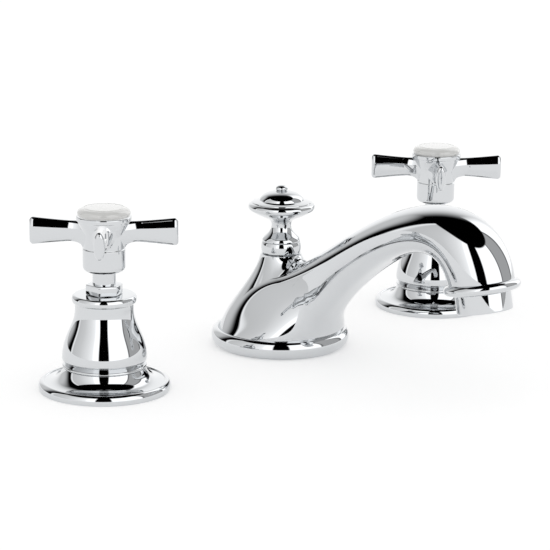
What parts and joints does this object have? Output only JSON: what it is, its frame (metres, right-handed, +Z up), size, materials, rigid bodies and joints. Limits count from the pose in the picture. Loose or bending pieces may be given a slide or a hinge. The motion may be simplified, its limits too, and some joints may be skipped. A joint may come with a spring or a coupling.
{
  "type": "three-hole basin mixer set",
  "caption": "Chrome basin mixer set: cross-head hot and cold valves on bells with white index buttons, and a swan-neck spout with a pop-up waste knob.",
  "frame": {"origin": "on the deck plane, at the centre of the spout's foot", "axes": "+Z up, +Y towards the wall, +X to the user's right; the spout points along -Y, hot at -X and cold at +X"},
  "size_m": [0.2528, 0.1554, 0.2143],
  "materials": {
    "chrome": "polished chrome plate",
    "porcelain": "white gloss glaze",
    "brass": "machined brass",
    "steel": "bright stainless steel",
    "rubber": "matt black rubber",
    "ceramic": "ground alumina",
    "plastic": "white acetal"
  },
  "bodies": {
    "fixed_set": {"spout_body": "chrome", "spout_foot_seal": "rubber", "spout_shank": "brass", "spout_deck_washer": "rubber", "spout_clamp_washer": "steel", "spout_backnut": "brass", "inlet_tee": "brass", "tee_union_nut": "brass", "tee_washer": "rubber", "tee_gland": "brass", "rod_tube": "brass", "rod_guide": "chrome", "aerator_shell": "chrome", "aerator_insert": "plastic", "aerator_washer": "rubber", "hot_escutcheon": "chrome", "hot_flange_seal": "rubber", "hot_locknut": "brass", "hot_valve_body": "brass", "hot_deck_washer": "rubber", "hot_clamp_washer": "steel", "hot_backnut": "brass", "hot_bell": "chrome", "hot_cartridge": "brass", "hot_lip_seal": "rubber", "hot_fixed_disc": "ceramic", "hot_gland_nut": "chrome", "cold_escutcheon": "chrome", "cold_flange_seal": "rubber", "cold_locknut": "brass", "cold_valve_body": "brass", "cold_deck_washer": "rubber", "cold_clamp_washer": "steel", "cold_backnut": "brass", "cold_bell": "chrome", "cold_cartridge": "brass", "cold_lip_seal": "rubber", "cold_fixed_disc": "ceramic", "cold_gland_nut": "chrome"},
    "hot_control": {"hot_handle": "chrome", "hot_handle_screw": "steel", "hot_index_cup": "chrome", "hot_index_button": "porcelain", "hot_spindle": "chrome", "hot_spindle_orings": "rubber", "hot_spindle_clip": "steel", "hot_moving_disc": "ceramic", "hot_thrust_washer": "plastic"},
    "cold_control": {"cold_handle": "chrome", "cold_handle_screw": "steel", "cold_index_cup": "chrome", "cold_index_button": "porcelain", "cold_spindle": "chrome", "cold_spindle_orings": "rubber", "cold_spindle_clip": "steel", "cold_moving_disc": "ceramic", "cold_thrust_washer": "plastic"},
    "pop_up": {"lift_rod": "chrome", "lift_knob": "chrome"}
  },
  "joints": [
    {"name": "hot_turn", "type": "hinge", "parent": "fixed_set", "child": "hot_control", "pos_m": [-0.1, 0, 0.0644], "axis": [0, 0, 1], "range_deg": [0, 90]},
    {"name": "cold_turn", "type": "hinge", "parent": "fixed_set", "child": "cold_control", "pos_m": [0.1, 0, 0.0644], "axis": [0, 0, 1], "range_deg": [-90, 0]},
    {"name": "waste_lift", "type": "slide", "parent": "fixed_set", "child": "pop_up", "axis": [0, 0, 1], "range_m": [0, 0.015]}
  ]
}
